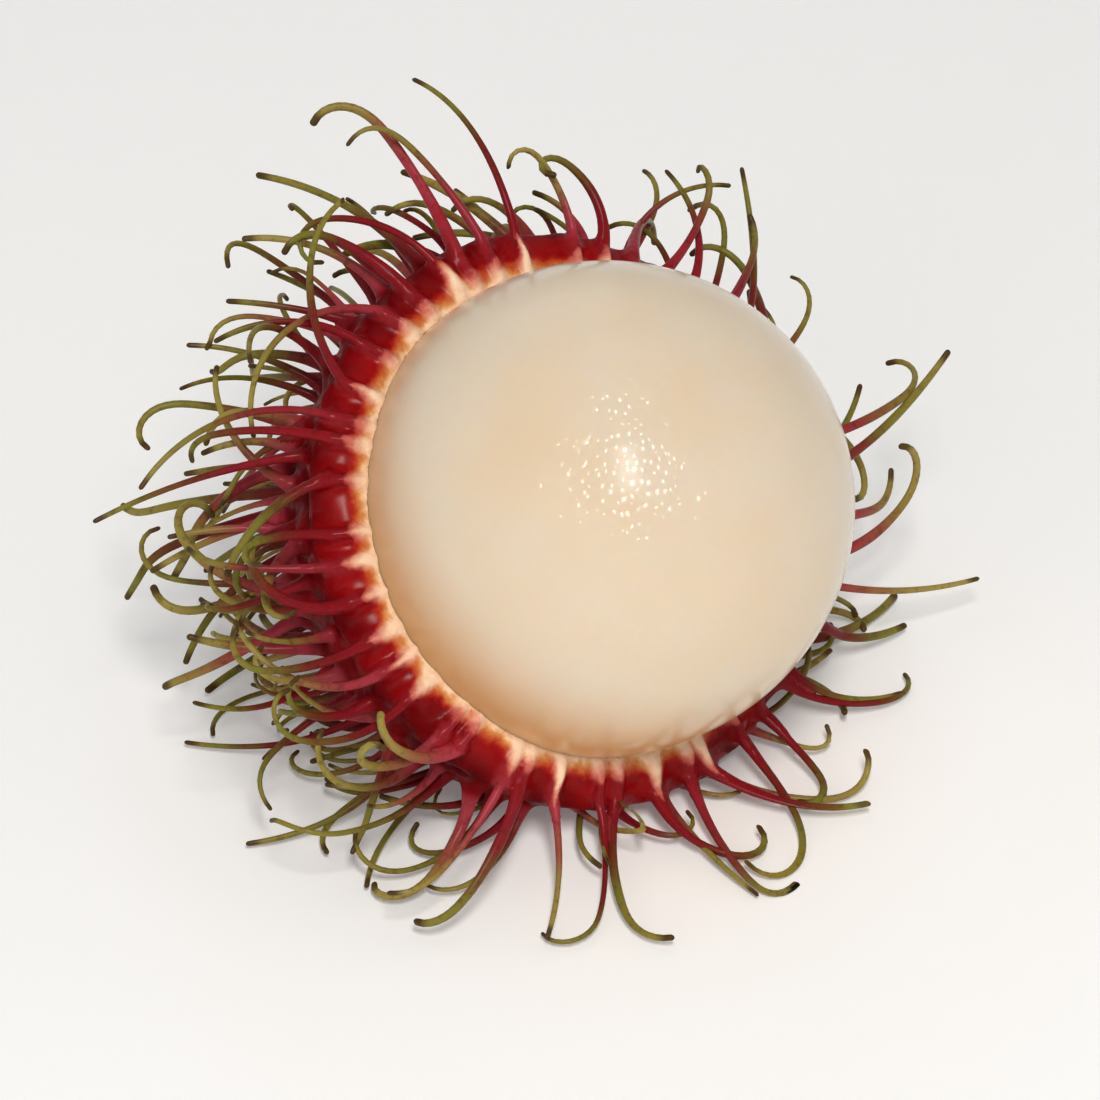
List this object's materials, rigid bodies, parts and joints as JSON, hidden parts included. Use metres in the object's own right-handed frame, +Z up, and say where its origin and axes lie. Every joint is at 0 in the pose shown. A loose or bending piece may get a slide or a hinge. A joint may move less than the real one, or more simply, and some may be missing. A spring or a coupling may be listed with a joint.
{
  "type": "half-peeled rambutan",
  "caption": "Rambutan fruit with half of its hairy rind peeled away: the other half is a spiny cup that holds the round white flesh, lying on a small flat spot.",
  "frame": {"origin": "middle of the small flat spot under the rind, on the surface that the fruit lies on", "axes": "+Z straight up from the flat spot; the cup's opening faces -Y and upwards, its axis 40.5 degrees above the surface; +X to the right of someone who looks along +Y into the opening"},
  "size_m": [0.0584, 0.0523, 0.04],
  "materials": {
    "rind": "moist, slightly glossy, pebbled",
    "flesh": "wet, milky, translucent"
  },
  "bodies": {
    "root": {"rind": "rind", "aril": "flesh"}
  },
  "joints": []
}
